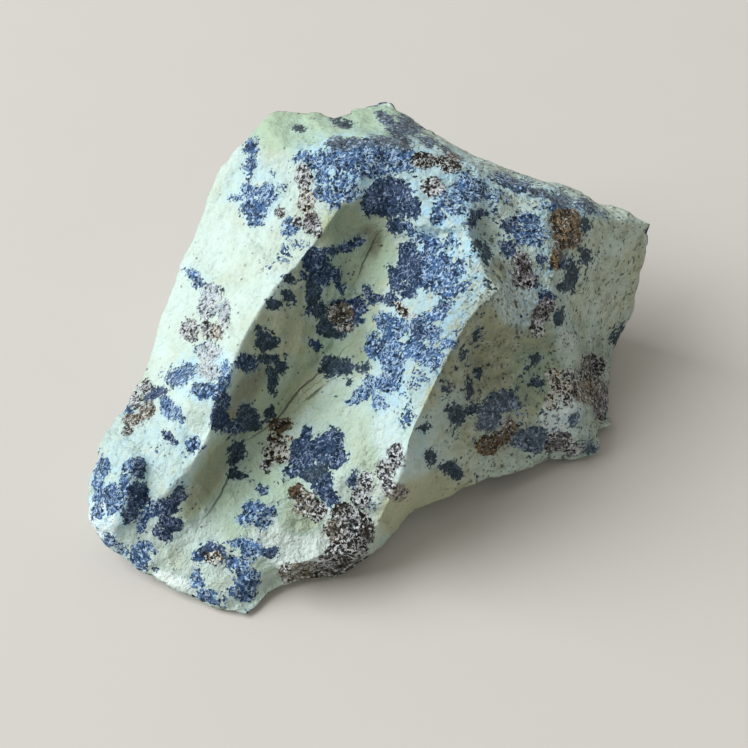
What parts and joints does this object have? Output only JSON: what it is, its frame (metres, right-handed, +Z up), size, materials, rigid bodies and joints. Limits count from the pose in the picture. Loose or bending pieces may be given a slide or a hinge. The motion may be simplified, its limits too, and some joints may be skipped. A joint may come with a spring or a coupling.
{
  "type": "raw serpentine stone",
  "caption": "Rough broken piece of pale green serpentine rock with grown-in blue mineral and metallic sulphide patches, with sharp ridges, a valley, a shelf and a flat foot",
  "frame": {"origin": "on the resting plane, under the middle of the stone's box", "axes": "+Z up from the table the stone rests on, +X along the stone's length, +Y to its back"},
  "size_m": [0.0536, 0.0362, 0.0225],
  "materials": {
    "serpentine": "dull broken rock, pale sage green, with grainy dark blue patches and glinting bronze and silver sulphide grains"
  },
  "bodies": {
    "root": {"stone": "serpentine"}
  },
  "joints": []
}
